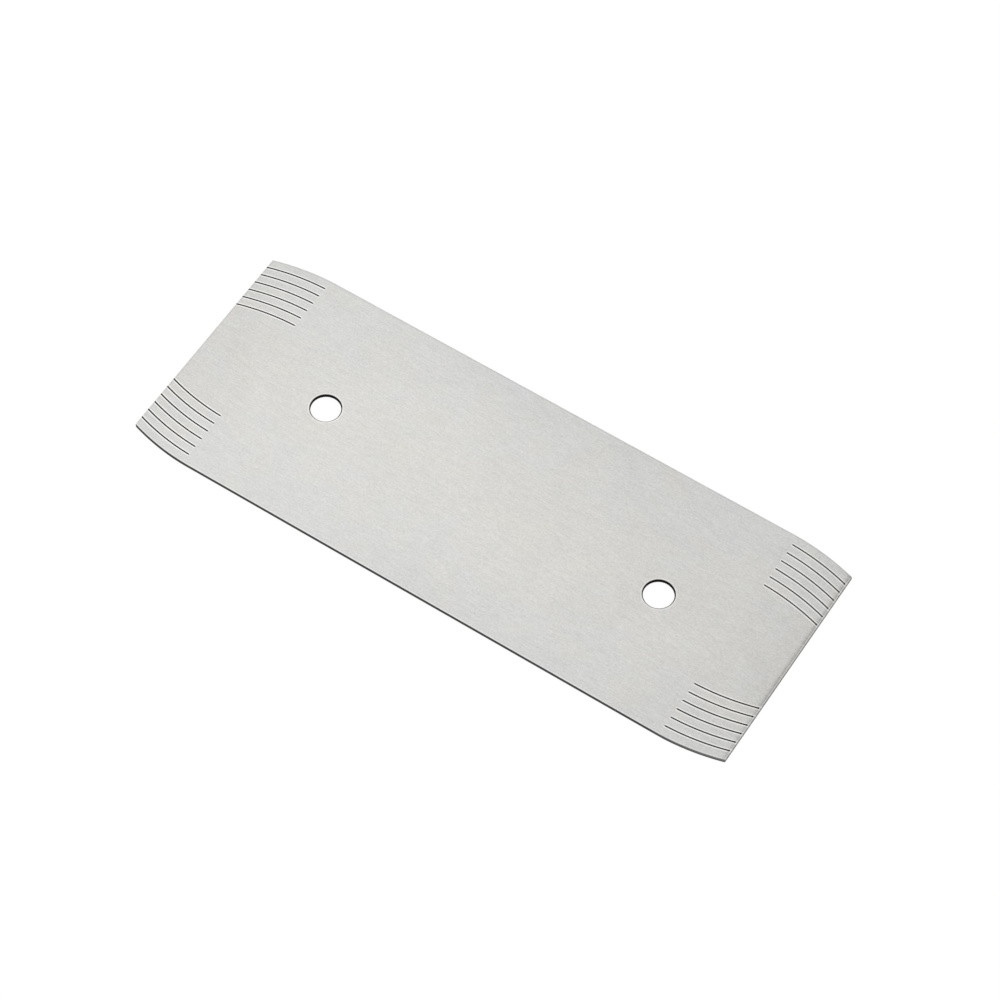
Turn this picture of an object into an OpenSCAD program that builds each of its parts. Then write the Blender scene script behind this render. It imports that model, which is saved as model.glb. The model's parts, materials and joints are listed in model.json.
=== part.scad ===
// Card scraper: a thin flat blade of hardened steel that is bowed in the fingers
// and pushed or pulled on either of its long edges. Near the ends both edges ease
// inwards on a large arc, so that the corners never dig in. Two holes take a peg
// or a pair of screws. Dark engraved lines at every corner repeat the eased edge
// at a fixed pitch, to guide the file each time a worn edge is ground back.
//
// The origin is at the centre of the underside, with +X along the blade, +Y
// towards the rear long edge and +Z through the thickness, out of the lined face.

/* [Blade] */
// Length from end to end
blade_length = 150; // [120:0.5:200]
// Width across the two long scraping edges
blade_width = 57.15; // [50:0.05:80]
// Thickness of the steel sheet
blade_thickness = 0.9; // [0.6:0.05:1.5]

/* [Eased corners] */
// Radius of the arc on which each long edge eases inwards
ease_radius = 55; // [45:0.5:90]
// Length of blade over which each long edge eases, measured in from the end
ease_length = 16.1; // [8:0.1:24]

/* [Holes] */
// Diameter of each hole
hole_diameter = 6.8; // [4:0.05:10]
// Distance between the centres of the two holes
hole_spacing = 85.5; // [70:0.25:95]
// Broken edge round both mouths of each hole
hole_edge_break = 0.18; // [0.1:0.02:0.26]

/* [Guide lines] */
// Number of lines at each corner
line_count = 6; // [1:1:8]
// Distance from the edge to the first line, and from each line to the next
line_pitch = 2.38; // [1.6:0.02:2.8]
// Distance in from the blade's end to the dot at which each line starts
line_start = 0.3; // [0.2:0.05:1]
// Distance in from the blade's end to the tip of each line's round inner end
line_length = 14.5; // [8:0.1:20]
// Width of each line
line_width = 0.3; // [0.12:0.02:0.4]
// Diameter of the dot at which each line starts
line_dot = 0.42; // [0.3:0.02:0.6]
// Depth to which the lines are engraved
line_depth = 0.05; // [0.04:0.01:0.1]
// Thickness of the dark oxide that fills the bottom of each line
line_oxide = 0.03; // [0.01:0.01:0.03]
// Distance by which all the lines are set off towards the left end
line_offset = 0.25; // [0.1:0.05:1]

/* [Hidden] */

// Ends and sides of the blade, as signs of X and Y
left = -1;
right = 1;
front = -1;
rear = 1;

// Facets in a full circle, for the large arcs, the holes and the ends of the lines
arc_facets = 720;
hole_facets = 96;
tip_facets = 32;

// Reach of every cut past the face that it opens
overrun = 1;

// Place along the blade where each long edge starts to ease inwards
ease_start = blade_length / 2 - ease_length;
// Place across the blade of the arc's centre, which keeps the arc tangent to the edge
ease_centre = blade_width / 2 - ease_radius;
// Distance by which the edge has come in where it meets the end
ease_drop = ease_radius - sqrt(ease_radius * ease_radius - ease_length * ease_length);

hole_radius = hole_diameter / 2;
// Radius that a 45 degree edge break reaches where its cutter ends, off the blade
hole_cutter_radius = hole_radius + hole_edge_break + overrun;

// Height of the floor of the engraved lines
line_floor = blade_thickness - line_depth;
// Diameter of the dots, which are never narrower than the lines
dot_diameter = max(line_dot, line_width);

steel_colour = [0.83, 0.83, 0.82];
oxide_colour = [0.24, 0.24, 0.23];

// Carries a shape drawn at the rear right corner over to the given corner
module to_corner(end, side) {
    mirror([end == left ? 1 : 0, 0, 0])
        mirror([0, side == front ? 1 : 0, 0])
            children();
}

// Steel that the easing arc takes off the rear right corner
module eased_off() {
    difference() {
        translate([ease_start, blade_width / 2 - ease_drop - overrun])
            square([ease_length + overrun, ease_drop + 2 * overrun]);
        translate([ease_start, ease_centre])
            circle(r = ease_radius, $fn = arc_facets);
    }
}

// Outline of the blade: a rectangle with its four corners eased
module blade_outline() {
    difference() {
        square([blade_length, blade_width], center = true);
        for (end = [left, right], side = [front, rear])
            to_corner(end, side) eased_off();
    }
}

// One hole, with its edge broken at both faces
module hole_cutter() {
    rotate_extrude($fn = hole_facets)
        polygon([
            [0, -overrun],
            [hole_cutter_radius, -overrun],
            [hole_radius, hole_edge_break],
            [hole_radius, blade_thickness - hole_edge_break],
            [hole_cutter_radius, blade_thickness + overrun],
            [0, blade_thickness + overrun]
        ]);
}

// Angle from +Y, about the easing arc's centre, at which the arc has come to a
// given distance from the blade's end
function arc_angle(from_end) = asin((ease_length - from_end) / ease_radius);

// Unit vector at an angle from +Y
function ray(angle) = [sin(angle), cos(angle)];

// One line about its own arc's centre: a stretch of ring between two rays, with a
// round inner end and a dot at the outer one
module line_outline() {
    inner = ray(arc_angle(line_length - line_width / 2));
    outer = ray(arc_angle(line_start));
    intersection() {
        difference() {
            circle(r = ease_radius + line_width / 2, $fn = arc_facets);
            circle(r = ease_radius - line_width / 2, $fn = arc_facets);
        }
        polygon([[0, 0], 2 * ease_radius * inner, 2 * ease_radius * outer]);
    }
    translate(ease_radius * inner) circle(d = line_width, $fn = tip_facets);
    translate(ease_radius * outer) circle(d = dot_diameter, $fn = tip_facets);
}

// Outlines of the lines at the rear right corner. Each is the easing arc itself,
// moved inwards by the pitch, which is the edge that the next regrind leaves.
module line_outlines() {
    for (line = [1 : line_count])
        translate([ease_start, ease_centre - line * line_pitch])
            line_outline();
}

// The lines of the given corner, where they lie on the blade
module placed_line_outlines(end, side) {
    translate([-line_offset, 0])
        to_corner(end, side) line_outlines();
}

// The blade, with its holes and the engraved floors of the lines
module blade() {
    color(steel_colour)
        difference() {
            linear_extrude(height = blade_thickness) blade_outline();
            for (end = [left, right])
                translate([end * hole_spacing / 2, 0, 0]) hole_cutter();
            for (end = [left, right], side = [front, rear])
                translate([0, 0, line_floor])
                    linear_extrude(height = line_depth + overrun)
                        placed_line_outlines(end, side);
        }
}

// Dark oxide in the floors of one corner's lines, cut off flush at the blade's end
module guide_lines(end, side) {
    color(oxide_colour)
        translate([0, 0, line_floor])
            linear_extrude(height = line_oxide)
                intersection() {
                    placed_line_outlines(end, side);
                    square([blade_length, blade_width], center = true);
                }
}

module guide_lines_rear_left() {
    guide_lines(left, rear);
}

module guide_lines_rear_right() {
    guide_lines(right, rear);
}

module guide_lines_front_left() {
    guide_lines(left, front);
}

module guide_lines_front_right() {
    guide_lines(right, front);
}

blade();
guide_lines_rear_left();
guide_lines_rear_right();
guide_lines_front_left();
guide_lines_front_right();
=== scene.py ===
import json
import math

import bmesh
import bpy
import numpy as np
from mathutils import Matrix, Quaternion, Vector


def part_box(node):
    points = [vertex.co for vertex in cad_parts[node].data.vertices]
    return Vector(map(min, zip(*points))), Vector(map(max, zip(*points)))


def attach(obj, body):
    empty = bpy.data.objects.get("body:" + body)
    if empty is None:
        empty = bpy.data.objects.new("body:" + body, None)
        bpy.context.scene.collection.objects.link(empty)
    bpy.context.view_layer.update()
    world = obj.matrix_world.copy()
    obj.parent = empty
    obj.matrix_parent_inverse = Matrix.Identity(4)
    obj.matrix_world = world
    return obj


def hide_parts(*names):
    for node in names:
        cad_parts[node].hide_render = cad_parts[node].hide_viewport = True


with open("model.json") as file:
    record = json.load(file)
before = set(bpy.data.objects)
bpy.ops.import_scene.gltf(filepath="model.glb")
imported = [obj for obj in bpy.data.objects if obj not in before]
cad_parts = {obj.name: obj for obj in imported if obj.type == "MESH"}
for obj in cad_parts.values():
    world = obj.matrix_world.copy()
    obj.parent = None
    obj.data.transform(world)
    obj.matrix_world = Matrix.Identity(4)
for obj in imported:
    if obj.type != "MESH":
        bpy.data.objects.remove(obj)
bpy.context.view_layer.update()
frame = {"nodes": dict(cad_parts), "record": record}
mm = 0.001
print("loaded the packed scraper:", ", ".join(sorted(frame["nodes"])))


# Shader maths: a wire is one output socket, and a sum or product of wires adds its Math node
class Wire:
    def __init__(self, tree, socket=None):
        self.tree = tree
        self.socket = socket

    # Any node: its settings are made first, then its inputs get their values or wires
    def node(self, kind, settings=None, inputs=None, out=0):
        made = self.tree.nodes.new(kind)
        for name, value in (settings or {}).items():
            setattr(made, name, value)
        for name, value in (inputs or {}).items():
            if isinstance(value, Wire):
                self.tree.links.new(value.socket, made.inputs[name])
            else:
                made.inputs[name].default_value = value
        return Wire(self.tree, made.outputs[out] if made.outputs else None)

    def maths(self, operation, first, second=0.0):
        return self.node("ShaderNodeMath", {"operation": operation}, {0: first, 1: second})

    def __add__(self, other):
        return self.maths("ADD", self, other)

    def __sub__(self, other):
        return self.maths("SUBTRACT", self, other)

    def __mul__(self, other):
        return self.maths("MULTIPLY", self, other)

    def __truediv__(self, other):
        return self.maths("DIVIDE", self, other)

    def __rsub__(self, other):
        return self.maths("SUBTRACT", other, self)

    __radd__ = __add__
    __rmul__ = __mul__

    def least(self, other):
        return self.maths("MINIMUM", self, other)

    def most(self, other):
        return self.maths("MAXIMUM", self, other)

    def size(self):
        return self.maths("ABSOLUTE", self)

    def root(self):
        return self.maths("SQRT", self)

    def nearest(self):
        return self.maths("ROUND", self)

    def exponent(self):
        return self.maths("EXPONENT", self)

    # A soft band: e to the minus square of the distance from its middle, in widths
    def band(self, middle, width):
        away = (self - middle) / width
        return (0.0 - away * away).exponent()

    # 0 below the first value, 1 above the second, with a soft step between them
    def step(self, low, high):
        inputs = {"Value": self, "From Min": low, "From Max": high}
        return self.node("ShaderNodeMapRange", {"interpolation_type": "SMOOTHSTEP"}, inputs)

    # Noise about 0 over a wire of places, whose spots have the given sizes along X, Y and Z
    def noise(self, sizes, detail=2.0, roughness=0.5):
        scale = tuple(1 / size for size in sizes)
        scaled = self.node("ShaderNodeVectorMath", {"operation": "MULTIPLY"}, {0: self, 1: scale})
        inputs = {"Vector": scaled, "Scale": 1.0, "Detail": detail, "Roughness": roughness}
        return self.node("ShaderNodeTexNoise", inputs=inputs) - 0.5

    # Colour times a fixed tone, through the colour sockets of a Mix node, which have only numbers
    def tinted(self, tone):
        inputs = {0: 1.0, 6: tone + (1,), 7: self}
        settings = {"data_type": "RGBA", "blend_type": "MULTIPLY"}
        return self.node("ShaderNodeMix", settings, inputs, out=2)


# Emptied node tree of a material or world, as a wire to start from
def freshTree(owner):
    owner.use_nodes = True
    owner.node_tree.nodes.clear()
    return Wire(owner.node_tree)


# Place on the piece in Object coordinates, and the same as x, y and z
def objectPlace(paint):
    place = paint.node("ShaderNodeTexCoord", out="Object")
    x, y, z = [paint.node("ShaderNodeSeparateXYZ", inputs={"Vector": place}, out=axis) for axis in "XYZ"]
    return place, x, y, z


def colourFrom(red, green, blue):
    return red.node("ShaderNodeCombineColor", inputs={"Red": red, "Green": green, "Blue": blue})


# Blade: sizes from the frame where it has them, and its other sizes beside them
bladeLow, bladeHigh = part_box("blade")
lineLow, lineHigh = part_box("guide_lines_rear_right")
bore = next(mount for mount in frame["record"]["mounts"] if mount["kind"] == "bore")
blade = {
    "length": bladeHigh.x - bladeLow.x,
    "width": bladeHigh.y - bladeLow.y,
    "thickness": bladeHigh.z - bladeLow.z,
    "easeRadius": 55 * mm,
    "easeLength": 16.1 * mm,
    "edgeRound": 0.03 * mm,
    "holePlace": abs(bore["pos_m"][0]),
    "holeRadius": bore["dims"]["r_mm"] * mm,
    "holeWall": bore["dims"]["length_mm"] * mm,
    "edgeSteps": 44,
    "arcSteps": 40,
    "endSteps": 20,
    "seamSteps": 32,
    "roundSteps": 5,
    "faceSteps": 8,
    "samePoint": 0.0005 * mm,
    "shortestEdge": 0.002 * mm,
    "sharpAngle": 30,
}
blade["easeStart"] = blade["length"] / 2 - blade["easeLength"]
blade["easeCentre"] = blade["width"] / 2 - blade["easeRadius"]
blade["holeBreak"] = (blade["thickness"] - blade["holeWall"]) / 2


# Half of the blade's outline, where x is 0 or more, drawn in by an inset: the long edge, then the
# easing arc about its own centre, then the end, and the same mirrored back to the other long edge
def halfOutline(inset):
    halfWidth = blade["width"] / 2 - inset
    halfLength = blade["length"] / 2 - inset
    radius = blade["easeRadius"] - inset
    sweep = math.asin((halfLength - blade["easeStart"]) / radius)
    turn = np.linspace(0, sweep, blade["arcSteps"] + 1)[1:]
    edgeX = np.linspace(0, blade["easeStart"], blade["edgeSteps"] + 1)
    arcX = blade["easeStart"] + radius * np.sin(turn)
    arcY = blade["easeCentre"] + radius * np.cos(turn)
    endY = np.linspace(arcY[-1], 0, blade["endSteps"] + 1)[1:]
    x = np.concatenate([edgeX, arcX, np.full(len(endY), halfLength)])
    y = np.concatenate([np.full(len(edgeX), halfWidth), arcY, endY])
    quarter = np.stack([x, y], 1)
    return np.concatenate([quarter, quarter[-2::-1] * (1, -1)])


# Points at one height: columns of x and y, with the height set beside them
def atHeight(flat, height):
    return np.concatenate([flat, np.full(flat.shape[:-1] + (1,), height)], -1)


# Rim: the outline moved in and up by a profile, whose two corners are quarter circles
def rimSurface():
    turn = np.linspace(0, math.pi / 2, blade["roundSteps"])
    inset = blade["edgeRound"] * (1 - np.sin(turn))
    height = blade["edgeRound"] * (1 - np.cos(turn))
    insets = np.concatenate([inset, inset[::-1]])
    heights = np.concatenate([height, blade["thickness"] - height[::-1]])
    rows = []
    for drawnIn, up in zip(insets, heights):
        half = halfOutline(drawnIn)
        loop = np.concatenate([half, half[-2:0:-1] * (-1, 1)])
        rows.append(atHeight(loop, up))
    return np.stack(rows)


# One half of a face, as rays from the hole's mouth straight out to the outline and the middle seam
def faceRays():
    outer = halfOutline(blade["edgeRound"])
    seamY = np.linspace(outer[-1, 1], outer[0, 1], blade["seamSteps"] + 1)[1:-1]
    outer = np.concatenate([outer, np.stack([np.zeros(len(seamY)), seamY], 1)])
    ray = outer - (blade["holePlace"], 0)
    return outer, ray / np.linalg.norm(ray, axis=1)[:, None]


# Ring round the hole on those rays, at the given radius
def holeRing(direction, radius):
    return direction * radius + (blade["holePlace"], 0)


# Face: rings at even shares of the way from the hole's mouth to the rim
def faceSurface(height):
    outer, direction = faceRays()
    mouth = holeRing(direction, blade["holeRadius"] + blade["holeBreak"])
    share = np.linspace(0, 1, blade["faceSteps"] + 1)[:, None, None]
    return atHeight(mouth * (1 - share) + outer * share, height)


# Hole: its wall and the broken edge at both mouths, as rings on the same rays
def holeSurface():
    direction = faceRays()[1]
    wide = blade["holeRadius"] + blade["holeBreak"]
    top = blade["thickness"]
    rings = [
        (wide, 0.0),
        (blade["holeRadius"], blade["holeBreak"]),
        (blade["holeRadius"], top - blade["holeBreak"]),
        (wide, top),
    ]
    return np.stack([atHeight(holeRing(direction, radius), up) for radius, up in rings])


# Quads of a grid of points whose columns close up
def ringQuads(rows, columns, start):
    row, column = np.meshgrid(np.arange(rows - 1), np.arange(columns), indexing="ij")
    after = (column + 1) % columns
    corners = [row * columns + column, row * columns + after]
    corners += [(row + 1) * columns + after, (row + 1) * columns + column]
    return np.stack(corners, -1).reshape(-1, 4) + start


# Joins grids of points into one closed mesh with its normals outwards. With an end given, as the
# sign of its x, whatever passes that end of the blade is cut off flush
def meshFromSurfaces(name, surfaces, end=0):
    points, quads, start = [], [], 0
    for surface in surfaces:
        rows, columns = surface.shape[:2]
        points.append(surface.reshape(-1, 3))
        quads.append(ringQuads(rows, columns, start))
        start += rows * columns
    mesh = bpy.data.meshes.new(name)
    mesh.from_pydata(np.concatenate(points).tolist(), [], np.concatenate(quads).tolist())
    shell = bmesh.new()
    shell.from_mesh(mesh)
    bmesh.ops.remove_doubles(shell, verts=shell.verts, dist=blade["samePoint"])
    if end:
        everything = shell.verts[:] + shell.edges[:] + shell.faces[:]
        place, away = (end * blade["length"] / 2, 0, 0), (end, 0, 0)
        bmesh.ops.bisect_plane(shell, geom=everything, plane_co=place, plane_no=away, clear_outer=True)
    bmesh.ops.holes_fill(shell, edges=shell.edges, sides=0)
    bmesh.ops.recalc_face_normals(shell, faces=shell.faces)
    shell.to_mesh(mesh)
    shell.free()
    piece = bpy.data.objects.new(name, mesh)
    bpy.context.scene.collection.objects.link(piece)
    return piece


# Guide lines: copies of the easing arc moved inwards by the pitch, each with a round inner end
# and a dot near the blade's end, all moved a little towards the left end
lines = {
    "count": 6,
    "pitch": 2.38 * mm,
    "width": 0.3 * mm,
    "dot": 0.42 * mm,
    "innerTip": 60.5 * mm,
    "dotPlace": 74.7 * mm,
    "shift": 0.25 * mm,
    "floor": lineLow.z,
    "top": lineHigh.z,
    "crown": 0.004 * mm,
    "gap": 0.001 * mm,
    "overrun": 0.3 * mm,
    "bodySteps": 30,
    "endSteps": 7,
    "dotSteps": 14,
    "crownSteps": 5,
    "sharpAngle": 50,
}


# Places along a line's arc and its half width there: a quarter turn at the inner end, the
# straight-sided stretch, and the circle of the dot from where it leaves that stretch
def lineWidths():
    half = lines["width"] / 2
    dot = lines["dot"] / 2
    radius = blade["easeRadius"]
    start = radius * math.asin((lines["innerTip"] - blade["easeStart"]) / radius)
    dotAt = radius * math.asin((lines["dotPlace"] - blade["easeStart"]) / radius)
    quarter = np.linspace(0, math.pi / 2, lines["endSteps"])
    leave = math.asin(half / dot)
    circle = np.linspace(leave, math.pi, lines["dotSteps"])
    body = np.linspace(start + half, dotAt - dot * math.cos(leave), lines["bodySteps"])[1:-1]
    along = [start + half * (1 - np.cos(quarter)), body, dotAt - dot * np.cos(circle)]
    widths = [half * np.sin(quarter), np.full(len(body), half), dot * np.sin(circle)]
    return np.concatenate(along), np.concatenate(widths)


# One line as a closed strip: a section of sideways shares and heights carried along the arc
def lineStrip(number, end, side, section, narrower=0.0):
    along, half = lineWidths()
    turn = along / blade["easeRadius"]
    centre = blade["easeCentre"] - number * lines["pitch"]
    loops = []
    for share, height in section:
        radius = blade["easeRadius"] + share * np.maximum(half - narrower, 0)
        x = end * (blade["easeStart"] + radius * np.sin(turn)) - lines["shift"]
        y = side * (centre + radius * np.cos(turn))
        loops.append(np.stack([x, y, np.full(len(x), height)], 1))
    return np.stack(loops, 1)


# Merges the ends of the very short edges that engraving leaves behind
def withoutSlivers(mesh):
    shell = bmesh.new()
    shell.from_mesh(mesh)
    bmesh.ops.dissolve_degenerate(shell, dist=blade["shortestEdge"], edges=shell.edges)
    shell.to_mesh(mesh)
    shell.free()


# Copy of a piece's mesh with its modifiers worked into it
def withModifiers(piece):
    shaped = piece.evaluated_get(bpy.context.evaluated_depsgraph_get())
    piece.data = bpy.data.meshes.new_from_object(shaped)
    piece.modifiers.clear()


# Smooth shading, but for edges sharper than the angle in degrees
def smoothed(piece, angle):
    mesh = piece.data
    mesh.polygons.foreach_set("use_smooth", np.ones(len(mesh.polygons), bool))
    mesh.set_sharp_from_angle(angle=math.radians(angle))


corners = [(end, side) for end in (1, -1) for side in (1, -1)]
numbers = range(1, lines["count"] + 1)


# Cutter of all the lines, from their floors up to past the face
def engraver():
    above = blade["thickness"] + lines["overrun"]
    section = [(-1, lines["floor"]), (1, lines["floor"]), (1, above), (-1, above)]
    strips = [lineStrip(number, end, side, section) for number in numbers for end, side in corners]
    return meshFromSurfaces("engraver", strips)


# The blade in one closed mesh, engraved, with its flat faces shaded flat up to their edges
def groundBlade():
    surfaces = [rimSurface()]
    for mirror in (1, -1):
        for surface in (faceSurface(0.0), faceSurface(blade["thickness"]), holeSurface()):
            surfaces.append(surface * (mirror, 1, 1))
    piece = meshFromSurfaces("ground_blade", surfaces)
    tool = engraver()
    cut = piece.modifiers.new("engraving", "BOOLEAN")
    cut.object = tool
    cut.operation = "DIFFERENCE"
    cut.solver = "EXACT"
    withModifiers(piece)
    bpy.data.objects.remove(tool)
    withoutSlivers(piece.data)
    smoothed(piece, blade["sharpAngle"])
    flat = piece.modifiers.new("flat faces", "WEIGHTED_NORMAL")
    flat.keep_sharp = True
    withModifiers(piece)
    return piece


bladePiece = groundBlade()
print("built the ground blade:", len(bladePiece.data.polygons), "faces")

# Painted shade on the blade's walls, as shares of the ground steel's tone: the long edges, the ends, the
# hole's wall and broken edge and the grooves get darker shares than the flat faces, as painted shade.
# Each "from" and
# "up to" is a z of the normal, at which one kind of face ends
paintedWallShade = {
    "longEdge": 0.135,
    "end": 0.54,
    "holeWall": 0.004,
    "holeBreak": 0.02,
    "groove": 0.02,
    "flatFrom": 0.6,
    "wallUpTo": 0.3,
    "breakUpTo": 0.85,
    "depth": 0.06 * mm,
}


# How far inside the outline points are, along and across: the nearer of the end and the long edge,
# which is the easing arc about its own centre, and flat before the arc starts
def depthInside(x, y):
    past = np.maximum(np.abs(x) - blade["easeStart"], 0)
    fromEdge = blade["easeRadius"] - np.hypot(past, np.abs(y) - blade["easeCentre"])
    return np.minimum(fromEdge, blade["length"] / 2 - np.abs(x))


# Share of painted shade on the walls: the ends have their own, and elsewhere it goes from the long
# edges' share to that one as the wall turns to the right, by the root of x of the normal
def wallShare(normalX):
    turned = np.sqrt(np.clip(normalX, 0, 1))
    share = paintedWallShade["longEdge"] + (paintedWallShade["end"] - paintedWallShade["longEdge"]) * turned
    return np.where(np.abs(normalX) > 1 - paintedWallShade["wallUpTo"], paintedWallShade["end"], share)


# Share of each face, with painted shade on the walls, the hole and the grooves, from the way that it
# points and from where its middle is. The rounded corners blend from the wall's share to the flat face's
# by z of the normal
def markPaintedWallShade(mesh):
    normals = np.empty(len(mesh.polygons) * 3)
    middles = np.empty(len(mesh.polygons) * 3)
    mesh.polygons.foreach_get("normal", normals)
    mesh.polygons.foreach_get("center", middles)
    normalX, _, normalZ = normals.reshape(-1, 3).T
    x, y, z = middles.reshape(-1, 3).T
    up = np.abs(normalZ)
    flat = np.clip((up - paintedWallShade["flatFrom"]) / (1 - paintedWallShade["flatFrom"]), 0, 1)
    wall = wallShare(normalX)
    share = wall + (1 - wall) * flat
    fromHole = np.hypot(np.abs(x) - blade["holePlace"], y)
    inHole = (fromHole < blade["holeRadius"] + blade["holeBreak"]) & (up < paintedWallShade["breakUpTo"])
    share[inHole] = np.where(up[inHole] > paintedWallShade["wallUpTo"], paintedWallShade["holeBreak"], paintedWallShade["holeWall"])
    belowFace = (z > lines["floor"] - lines["gap"]) & (z < blade["thickness"] - lines["gap"])
    share[belowFace & ~inHole & (depthInside(x, y) > paintedWallShade["depth"])] = paintedWallShade["groove"]
    # The face attribute holds each face's share of the tone, with the painted shade of the walls in it
    layer = mesh.attributes.new("paintedWallShade", "FLOAT", "FACE")
    layer.data.foreach_set("value", share)


markPaintedWallShade(bladePiece.data)

# Ground steel: tones in linear light, noise as shares of the tone, spot sizes along X, Y and Z, and
# the detail and roughness of each noise
steel = {
    "tone": (0.5975, 0.596, 0.5847),
    "edgeTint": (0.55, 0.55, 0.55),
    "roughness": 0.38,
    "cutRoughness": 0.12,
    "fineGrain": (0.5 * mm, 0.24 * mm, 0.24 * mm),
    "fineDetail": (3.0, 0.6),
    "longGrain": (3.2 * mm, 0.38 * mm, 0.38 * mm),
    "longDetail": (2.0, 0.5),
    "cloud": (16 * mm, 22 * mm, 22 * mm),
    "cloudDetail": (4.0, 0.65),
    "hueSpots": (9 * mm, 6 * mm, 6 * mm),
    "fineAmount": 0.55,
    "longAmount": 0.19,
    "cloudAmount": 0.13,
    "hueAmount": 0.034,
    "warm": 0.01,
    "warmWidth": 15 * mm,
    "warmOffBlue": 2.0,
    # Painted shade and uneven tone: how much darker the middle of the long edges is, and how far along X
    # that reaches
    "sideShadeAndTone": 0.045,
    "sideShadeAndToneReach": 40 * mm,
    "fineToRoughness": 0.1,
    "cloudToRoughness": 0.05,
    "grainDepth": 0.002 * mm,
    "grainStrength": 0.6,
    "faceFrom": 0.97,
    "faceAll": 0.99,
}

# Painted light and shade on the upper face, as shares of tone to add: painted highlights and painted
# shade lines along its edges, beside the lines and round the holes, and painted shade at its ends.
# Places are distances inside an edge or an end, or outside a line's middle or a hole's mouth. The zone
# of the lines is in pitches
paintedFaceLight = {
    "frontRim": 0.18,
    "rearRim": -0.14,
    "edgePlace": 0.22 * mm,
    "edgeWidth": 0.11 * mm,
    "sideBlend": 1 * mm,
    "lipDark": 0.3,
    "lipWidth": 0.06 * mm,
    "lipFrom": -66 * mm,
    "lipFull": -58 * mm,
    "lineHighlight": 0.45,
    "linePlace": 0.33 * mm,
    "lineWidth": 0.085 * mm,
    "lineEnd": 0.2 * mm,
    "lineZone": 0.5,
    "lineZoneBlend": 0.1,
    "holeRim": 0.2,
    "holePlace": 0.26 * mm,
    "holeWidth": 0.1 * mm,
    "holeDark": 0.88,
    "holeDarkWidth": 0.075 * mm,
    "holeDarkNear": 0.4,
    "leftDark": 0.11,
    "leftPlace": 0.25 * mm,
    "leftWidth": 0.1 * mm,
    "rightLip": 0.5,
    "rightLipPlace": 0.04 * mm,
    "rightDark": 0.3,
    "rightFrom": 0.18 * mm,
    "rightFull": 0.36 * mm,
    "rightFlat": 0.52 * mm,
    "rightFade": 0.33 * mm,
    "frontLess": 0.35,
    "frontFrom": 8 * mm,
    "frontFull": 14 * mm,
    "rightShade": 0.055,
    "leftShade": 0.035,
    "shadeFrom": 55 * mm,
    "shadeFull": 76 * mm,
}


# Distance inside the nearer long edge, which is the easing arc about its own centre, and straight
# before the arc starts
def insideEdge(x, y):
    past = (x.size() - blade["easeStart"]).most(0.0)
    toEdge = y.size() - blade["easeCentre"]
    return blade["easeRadius"] - (past * past + toEdge * toEdge).root()


# Painted highlight line inside the front long edge and painted shade line inside the rear one, with a
# painted dark lip at the front edge that fades to the left
def edgeRims(x, y):
    fromEdge = insideEdge(x, y)
    rear = y.step(-paintedFaceLight["sideBlend"], paintedFaceLight["sideBlend"])
    share = paintedFaceLight["frontRim"] + rear * (paintedFaceLight["rearRim"] - paintedFaceLight["frontRim"])
    lipAmount = (1 - rear) * x.step(paintedFaceLight["lipFrom"], paintedFaceLight["lipFull"]) * paintedFaceLight["lipDark"]
    lip = fromEdge.band(0.0, paintedFaceLight["lipWidth"]) * lipAmount
    return fromEdge.band(paintedFaceLight["edgePlace"], paintedFaceLight["edgeWidth"]) * share - lip


# Painted highlights: bright bands beside each guide line. The distance from a line is how
# far its number is from a whole one, times the pitch, times the cosine of the arc's slope
def lineHighlights(x, y):
    alongX = (x + lines["shift"]).size()
    moved = (alongX - blade["easeStart"]).most(0.0)
    rise = (blade["easeRadius"] ** 2 - moved * moved).most(0.0).root()
    number = (blade["easeCentre"] + rise - y.size()) / lines["pitch"]
    fromLine = (number - number.nearest()).size() * lines["pitch"] * rise / blade["easeRadius"]
    onLine = alongX.step(lines["innerTip"] - paintedFaceLight["lineEnd"], lines["innerTip"])
    low, high = paintedFaceLight["lineZone"] - paintedFaceLight["lineZoneBlend"], paintedFaceLight["lineZone"] + paintedFaceLight["lineZoneBlend"]
    numbered = number.step(low, high) * (1 - number.step(lines["count"] + low, lines["count"] + high))
    return fromLine.band(paintedFaceLight["linePlace"], paintedFaceLight["lineWidth"]) * onLine * numbered * paintedFaceLight["lineHighlight"]


# Painted rings round each hole: a painted shade ring at its mouth, stronger to the rear, and a painted
# highlight ring outside it
def holeRims(x, y):
    mouth = blade["holeRadius"] + blade["holeBreak"]
    aside = x.size() - blade["holePlace"]
    fromMouth = (aside * aside + y * y).root() - mouth
    rear = y.step(-mouth, mouth) * (1 - paintedFaceLight["holeDarkNear"]) + paintedFaceLight["holeDarkNear"]
    dark = fromMouth.band(0.0, paintedFaceLight["holeDarkWidth"]) * rear * paintedFaceLight["holeDark"]
    return fromMouth.band(paintedFaceLight["holePlace"], paintedFaceLight["holeWidth"]) * paintedFaceLight["holeRim"] - dark


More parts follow.
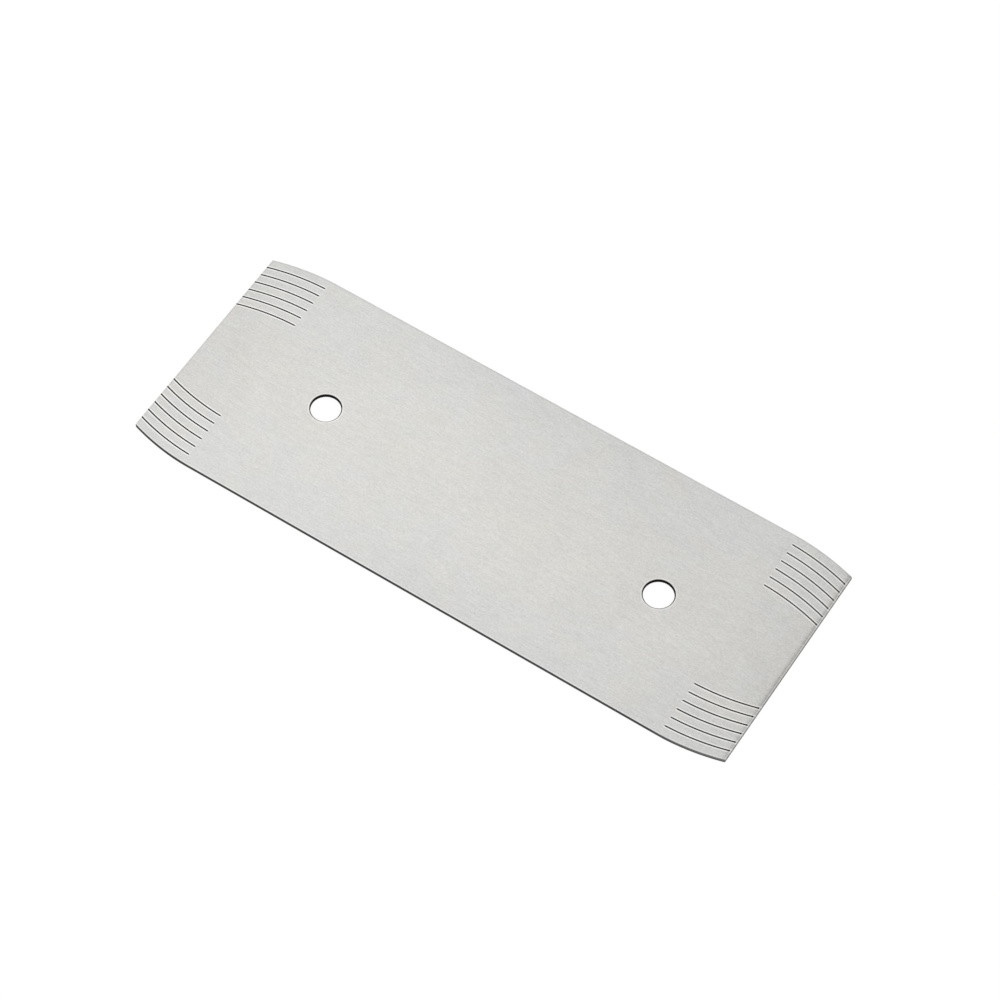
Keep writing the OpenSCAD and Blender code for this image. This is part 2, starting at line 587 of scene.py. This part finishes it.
# Painted shade at the ends, as shares of tone to take off: a dark lip and a dark band at the right end
# that fades inwards and is weaker to the front, a faint band at the left, and a slow painted shade
# towards both
def paintedEndShade(x, y):
    fromRight = blade["length"] / 2 - x
    fade = ((paintedFaceLight["rightFlat"] - fromRight).least(0.0) / paintedFaceLight["rightFade"]).exponent()
    strength = 1 - (0.0 - y).step(paintedFaceLight["frontFrom"], paintedFaceLight["frontFull"]) * paintedFaceLight["frontLess"]
    right = fromRight.step(paintedFaceLight["rightFrom"], paintedFaceLight["rightFull"]) * fade * strength * paintedFaceLight["rightDark"]
    lip = fromRight.band(paintedFaceLight["rightLipPlace"], paintedFaceLight["lipWidth"]) * paintedFaceLight["rightLip"]
    left = (x + blade["length"] / 2).band(paintedFaceLight["leftPlace"], paintedFaceLight["leftWidth"]) * paintedFaceLight["leftDark"]
    rightShade = x.step(paintedFaceLight["shadeFrom"], paintedFaceLight["shadeFull"]) * paintedFaceLight["rightShade"]
    leftShade = (0.0 - x).step(paintedFaceLight["shadeFrom"], paintedFaceLight["shadeFull"]) * paintedFaceLight["leftShade"]
    return right + lip + left + rightShade + leftShade


# Ground steel: one tone times grain, clouds, the painted light and shade of the upper face and the
# painted shade of the walls. The middle of the long edges is darkened by the square of y, partly as
# painted shade and partly as uneven tone, and warmth shifts red up and blue down along the middle
def steelMaterial():
    material = bpy.data.materials.new("ground steel")
    paint = freshTree(material)
    place, x, y, z = objectPlace(paint)
    # Each face's share of the tone, which paints shade on the walls, the hole and the grooves
    share = paint.node("ShaderNodeAttribute", {"attribute_name": "paintedWallShade"}, out="Fac")
    fine = place.noise(steel["fineGrain"], *steel["fineDetail"])
    long = place.noise(steel["longGrain"], *steel["longDetail"])
    cloud = place.noise(steel["cloud"], *steel["cloudDetail"])
    grain = fine * steel["fineAmount"] + long * steel["longAmount"]
    onFace = z.step(blade["thickness"] * steel["faceFrom"], blade["thickness"] * steel["faceAll"])
    # Painted highlights and painted shade, on the upper face only
    paintedOnFace = (edgeRims(x, y) + lineHighlights(x, y) + holeRims(x, y) - paintedEndShade(x, y)) * onFace
    # Painted shade and uneven tone towards the middle of both long edges
    across = y / (blade["width"] / 2)
    sideShadeAndTone = across * across * x.band(0.0, steel["sideShadeAndToneReach"]) * steel["sideShadeAndTone"]
    amount = (1.0 + grain + cloud * steel["cloudAmount"] - sideShadeAndTone + paintedOnFace) * share
    warm = y.band(0.0, steel["warmWidth"]) * steel["warm"]
    warm = warm + place.noise(steel["hueSpots"]) * steel["hueAmount"]
    red, blue = amount * (1.0 + warm), amount * (1.0 - warm * steel["warmOffBlue"])
    colour = colourFrom(red, amount, blue).tinted(steel["tone"])
    uneven = fine * steel["fineToRoughness"] + cloud * steel["cloudToRoughness"]
    roughness = steel["roughness"] + uneven + (1 - share) * steel["cutRoughness"]
    bumpInputs = {"Strength": steel["grainStrength"], "Distance": steel["grainDepth"], "Height": grain}
    bump = paint.node("ShaderNodeBump", inputs=bumpInputs)
    shaderInputs = {"Base Color": colour, "Metallic": 1.0, "Roughness": roughness, "Normal": bump}
    shaderInputs["Specular Tint"] = steel["edgeTint"] + (1,)
    shader = paint.node("ShaderNodeBsdfPrincipled", inputs=shaderInputs)
    paint.node("ShaderNodeOutputMaterial", inputs={"Surface": shader})
    return material


bladePiece.data.materials.clear()
bladePiece.data.materials.append(steelMaterial())
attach(bladePiece, "root")
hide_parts("blade")

# Oxide in the lines: a grey in linear light, and how much paler it is towards the right, more so at the
# rear right
oxide = {
    "tone": 0.007,
    "roughness": 0.7,
    "shine": 0.1,
    "right": 0.012,
    "rearRight": 0.028,
    "blend": 10 * mm,
    "spots": (0.12 * mm, 0.06 * mm, 0.06 * mm),
    "spotDetail": (3.0, 0.6),
    "spotAmount": 0.5,
    "spotToRoughness": 0.2,
    "spotDepth": 0.004 * mm,
}


def oxideMaterial():
    material = bpy.data.materials.new("line oxide")
    paint = freshTree(material)
    place, x, y = objectPlace(paint)[:3]
    spots = place.noise(oxide["spots"], *oxide["spotDetail"])
    right = x.step(-oxide["blend"], oxide["blend"])
    rear = y.step(-oxide["blend"], oxide["blend"])
    thin = right * (rear * oxide["rearRight"] + oxide["right"])
    amount = (thin + oxide["tone"]) * (1.0 + spots * oxide["spotAmount"])
    colour = colourFrom(amount, amount, amount)
    bump = paint.node("ShaderNodeBump", inputs={"Distance": oxide["spotDepth"], "Height": spots})
    roughness = oxide["roughness"] + spots * oxide["spotToRoughness"]
    shaderInputs = {"Base Color": colour, "Roughness": roughness, "Normal": bump}
    shaderInputs["Specular IOR Level"] = oxide["shine"]
    shader = paint.node("ShaderNodeBsdfPrincipled", inputs=shaderInputs)
    paint.node("ShaderNodeOutputMaterial", inputs={"Surface": shader})
    return material


# One corner's lines of oxide, seated in the grooves and cut off flush at the end. Their tops are
# crowned: the top less the crown times the square of the share of the half width
def oxideLines(name, end, side, material):
    shares = np.linspace(1, -1, lines["crownSteps"])
    section = [(-1, lines["floor"]), (1, lines["floor"])]
    section += [(share, lines["top"] - lines["crown"] * share ** 2) for share in shares]
    strips = [lineStrip(number, end, side, section, lines["gap"]) for number in numbers]
    piece = meshFromSurfaces(name, strips, end)
    smoothed(piece, lines["sharpAngle"])
    piece.data.materials.append(material)
    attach(piece, "root")
    return piece


lineMaterial = oxideMaterial()
for end, endName in ((-1, "left"), (1, "right")):
    for side, sideName in ((1, "rear"), (-1, "front")):
        piece = oxideLines("oxide_lines_" + sideName + "_" + endName, end, side, lineMaterial)
        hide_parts("guide_lines_" + sideName + "_" + endName)
print("filled the guide lines")

# Floor: a wide pale sheet just under the blade, white to the eye and in reflections, which keeps
# a faint shadow in the part of its tone that the studio lights, and a painted contact shadow: a thin
# dark line.
# Its reach is in metres
floorSet = {
    "reach": 3.0,
    "drop": 0.01 * mm,
    "tone": (0.08, 0.08, 0.08),
    "glow": 0.93,
    "contact": 0.89,
    "contactUnder": 0.5 * mm,
    "contactTo": 0.01 * mm,
    "contactOut": 0.075 * mm,
    "contactEnd": 0.1 * mm,
    "contactMore": 0.042 * mm,
    "contactBlend": 4 * mm,
}


# 1 for what the camera sees directly, in a reflection or through glass, and 0 for diffuse light
def seenDirectly(paint):
    rays = ("Is Camera Ray", "Is Glossy Ray", "Is Transmission Ray")
    camera, glossy, through = [paint.node("ShaderNodeLightPath", out=ray) for ray in rays]
    return (camera + glossy + through).least(1.0)


# Painted contact shadow: white but for a thin dark line just outside both long edges, a little wider
# along the eased corners, painted where the blade would keep light off the floor
def paintedContactShadow(paint):
    x, y = objectPlace(paint)[1:3]
    onArc = x.size().step(blade["easeStart"], blade["easeStart"] + floorSet["contactBlend"])
    outside = 0.0 - insideEdge(x, y) - onArc * floorSet["contactMore"]
    under = outside.step(-2 * floorSet["contactUnder"], -floorSet["contactUnder"])
    nearEdge = under - outside.step(floorSet["contactTo"], floorSet["contactOut"])
    reach = blade["length"] / 2
    onLength = 1 - x.size().step(reach - floorSet["contactEnd"], reach)
    white = 1 - nearEdge * onLength * floorSet["contact"]
    return colourFrom(white, white, white)


def paleFloor():
    reach = floorSet["reach"]
    sheet = [(-reach, -reach), (reach, -reach), (reach, reach), (-reach, reach)]
    mesh = bpy.data.meshes.new("floor")
    mesh.from_pydata([(x, y, -floorSet["drop"]) for x, y in sheet], [], [(0, 1, 2, 3)])
    floor = bpy.data.objects.new("floor", mesh)
    bpy.context.scene.collection.objects.link(floor)
    material = bpy.data.materials.new("pale floor")
    paint = freshTree(material)
    pale = paintedContactShadow(paint)
    matt = paint.node("ShaderNodeBsdfDiffuse", inputs={"Color": pale.tinted(floorSet["tone"])})
    strength = seenDirectly(paint) * floorSet["glow"]
    glow = paint.node("ShaderNodeEmission", inputs={"Color": pale, "Strength": strength})
    both = paint.node("ShaderNodeAddShader", inputs={0: matt, 1: glow})
    paint.node("ShaderNodeOutputMaterial", inputs={"Surface": both})
    mesh.materials.append(material)


# Studio: an even white surround, and a small soft panel to the rear left, whose reflection fades
# along the steel. Places and sizes are in metres, and power in watts
studio = {
    "surround": 1.0,
    "panelPlace": (-0.132, 0.110, 0.305),
    "panelSize": 0.164,
    "panelPower": 0.036,
}


def studioLight():
    world = bpy.data.worlds.new("studio")
    bpy.context.scene.world = world
    paint = freshTree(world)
    inputs = {"Color": (1, 1, 1, 1), "Strength": studio["surround"]}
    surround = paint.node("ShaderNodeBackground", inputs=inputs)
    paint.node("ShaderNodeOutputWorld", inputs={"Surface": surround})
    light = bpy.data.lights.new("soft panel", "AREA")
    light.shape = "SQUARE"
    light.size = studio["panelSize"]
    light.energy = studio["panelPower"]
    panel = bpy.data.objects.new("soft panel", light)
    panel.location = studio["panelPlace"]
    panel.rotation_mode = "QUATERNION"
    panel.rotation_quaternion = (-Vector(studio["panelPlace"])).to_track_quat("-Z", "Y")
    bpy.context.scene.collection.objects.link(panel)


# Camera: where the photograph was taken from, in metres, with its slight tilt in degrees
eye = {
    "place": (0.21438, -0.34408, 0.66011),
    "aim": (0.00189, 0.00116, 0.0009),
    "lens": 129.32,
    "sensor": 36.0,
    "tilt": 1.488,
    "nearest": 0.01,
    "farthest": 50.0,
}


def photoCamera():
    data = bpy.data.cameras.new("photo camera")
    data.sensor_width = eye["sensor"]
    data.lens = eye["lens"]
    data.clip_start = eye["nearest"]
    data.clip_end = eye["farthest"]
    camera = bpy.data.objects.new("photo camera", data)
    camera.location = eye["place"]
    look = Vector(eye["aim"]) - Vector(eye["place"])
    camera.rotation_mode = "QUATERNION"
    tilt = Quaternion((0, 0, 1), math.radians(eye["tilt"]))
    camera.rotation_quaternion = look.to_track_quat("-Z", "Y") @ tilt
    bpy.context.scene.collection.objects.link(camera)
    bpy.context.scene.camera = camera


paleFloor()
studioLight()
photoCamera()
bpy.context.scene.view_settings.view_transform = "Standard"
print("set the floor, the light and the camera")
